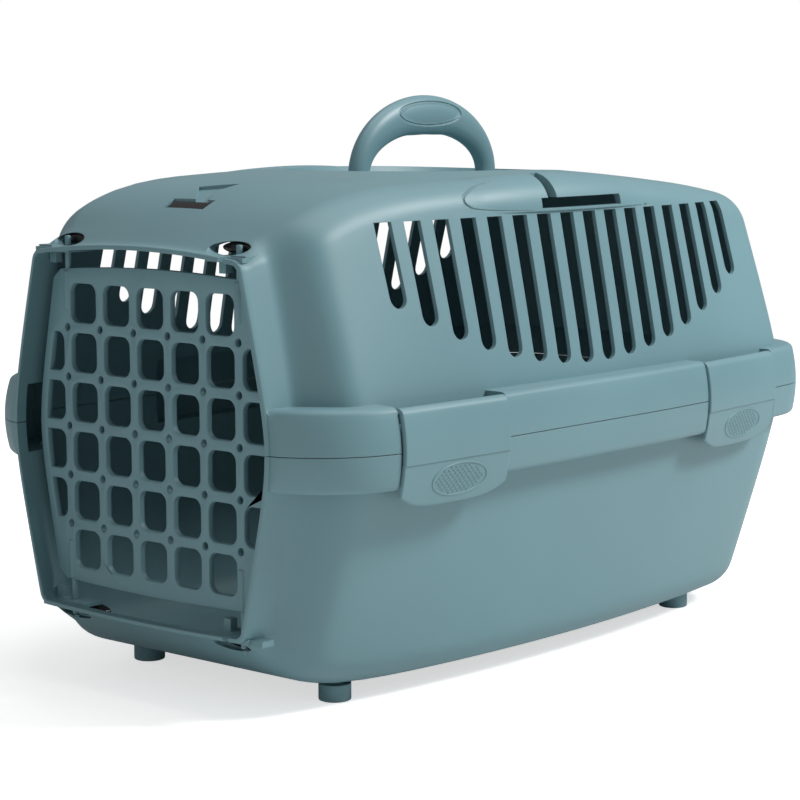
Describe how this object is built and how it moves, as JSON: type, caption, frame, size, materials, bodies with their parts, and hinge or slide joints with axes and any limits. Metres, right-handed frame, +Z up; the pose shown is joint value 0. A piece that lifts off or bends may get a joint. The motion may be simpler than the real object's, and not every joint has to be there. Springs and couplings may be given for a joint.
{
  "type": "pet transport carrier",
  "caption": "Hard plastic pet carrier: two shells joined by side latches, grille front door on pins, slotted vents along both sides and a folding carrying handle on the roof.",
  "frame": {"origin": "centre of the bounding box's bottom face: the feet stand on z = 0", "axes": "the door faces -Y, the length runs along Y, +Z up"},
  "size_m": [0.3124, 0.488, 0.3365],
  "materials": {
    "top_shell_plastic": "fine-grained satin grey-teal polypropylene",
    "bottom_shell_plastic": "fine-grained satin grey-teal polypropylene",
    "door_plastic": "fine-grained satin grey-teal polypropylene",
    "door_pin_top_left_plastic": "fine-grained satin grey-teal polypropylene",
    "door_pin_bottom_left_plastic": "fine-grained satin grey-teal polypropylene",
    "door_lock_pin_top_right_plastic": "fine-grained satin grey-teal polypropylene",
    "door_lock_pin_bottom_right_plastic": "fine-grained satin grey-teal polypropylene",
    "latch_plastic_front_right": "fine-grained satin grey-teal polypropylene",
    "latch_pin_steel_front_right": "bare steel wire",
    "latch_plastic_rear_right": "fine-grained satin grey-teal polypropylene",
    "latch_pin_steel_rear_right": "bare steel wire",
    "latch_plastic_front_left": "fine-grained satin grey-teal polypropylene",
    "latch_pin_steel_front_left": "bare steel wire",
    "latch_plastic_rear_left": "fine-grained satin grey-teal polypropylene",
    "latch_pin_steel_rear_left": "bare steel wire",
    "handle_plastic": "fine-grained satin grey-teal polypropylene",
    "handle_pin_front_steel": "bare steel wire",
    "handle_pin_rear_steel": "bare steel wire",
    "foot_front_left_plastic": "fine-grained satin grey-teal polypropylene",
    "foot_front_right_plastic": "fine-grained satin grey-teal polypropylene",
    "foot_rear_left_plastic": "fine-grained satin grey-teal polypropylene",
    "foot_rear_right_plastic": "fine-grained satin grey-teal polypropylene"
  },
  "bodies": {
    "lower_shell": {"bottom_shell": "bottom_shell_plastic", "foot_front_left": "foot_front_left_plastic", "foot_front_right": "foot_front_right_plastic", "foot_rear_left": "foot_rear_left_plastic", "foot_rear_right": "foot_rear_right_plastic"},
    "upper_shell": {"top_shell": "top_shell_plastic", "handle_pin_front": "handle_pin_front_steel", "handle_pin_rear": "handle_pin_rear_steel", "latch_pin_front_right": "latch_pin_steel_front_right", "latch_pin_rear_right": "latch_pin_steel_rear_right", "latch_pin_front_left": "latch_pin_steel_front_left", "latch_pin_rear_left": "latch_pin_steel_rear_left"},
    "door": {"door_grille": "door_plastic", "door_pin_top_left": "door_pin_top_left_plastic", "door_pin_bottom_left": "door_pin_bottom_left_plastic"},
    "lock_pin_top": {"door_lock_pin_top_right": "door_lock_pin_top_right_plastic"},
    "lock_pin_bottom": {"door_lock_pin_bottom_right": "door_lock_pin_bottom_right_plastic"},
    "handle": {"carry_handle": "handle_plastic"},
    "latch_front_right": {"latch_front_right": "latch_plastic_front_right"},
    "latch_rear_right": {"latch_rear_right": "latch_plastic_rear_right"},
    "latch_front_left": {"latch_front_left": "latch_plastic_front_left"},
    "latch_rear_left": {"latch_rear_left": "latch_plastic_rear_left"}
  },
  "joints": [
    {"name": "top_lift_off", "type": "slide", "parent": "lower_shell", "child": "upper_shell", "axis": [0, 0, 1], "range_m": [0, 0.2]},
    {"name": "door_swing", "type": "hinge", "parent": "lower_shell", "child": "door", "pos_m": [-0.06915, -0.2295, 0.1495], "axis": [0, 0, -1], "range_deg": [0, 110]},
    {"name": "lock_pin_top_slide", "type": "slide", "parent": "door", "child": "lock_pin_top", "axis": [0, 0, -1], "range_m": [0, 0.0095]},
    {"name": "lock_pin_bottom_slide", "type": "slide", "parent": "door", "child": "lock_pin_bottom", "axis": [0, 0, 1], "range_m": [0, 0.0095]},
    {"name": "handle_fold", "type": "hinge", "parent": "upper_shell", "child": "handle", "pos_m": [0, 0, 0.283], "axis": [0, 1, 0], "range_deg": [-88, 88]},
    {"name": "front_right_latch_swing", "type": "hinge", "parent": "upper_shell", "child": "latch_front_right", "pos_m": [0.14708, -0.14821, 0.1675], "axis": [-0.0449, -0.999, 0], "range_deg": [0, 85]},
    {"name": "rear_right_latch_swing", "type": "hinge", "parent": "upper_shell", "child": "latch_rear_right", "pos_m": [0.14201, 0.13347, 0.1675], "axis": [0.0834, -0.9965, 0], "range_deg": [0, 85]},
    {"name": "front_left_latch_swing", "type": "hinge", "parent": "upper_shell", "child": "latch_front_left", "pos_m": [-0.14708, -0.14821, 0.1675], "axis": [-0.0449, 0.999, 0], "range_deg": [0, 85]},
    {"name": "rear_left_latch_swing", "type": "hinge", "parent": "upper_shell", "child": "latch_rear_left", "pos_m": [-0.14201, 0.13347, 0.1675], "axis": [0.0834, 0.9965, 0], "range_deg": [0, 85]}
  ]
}
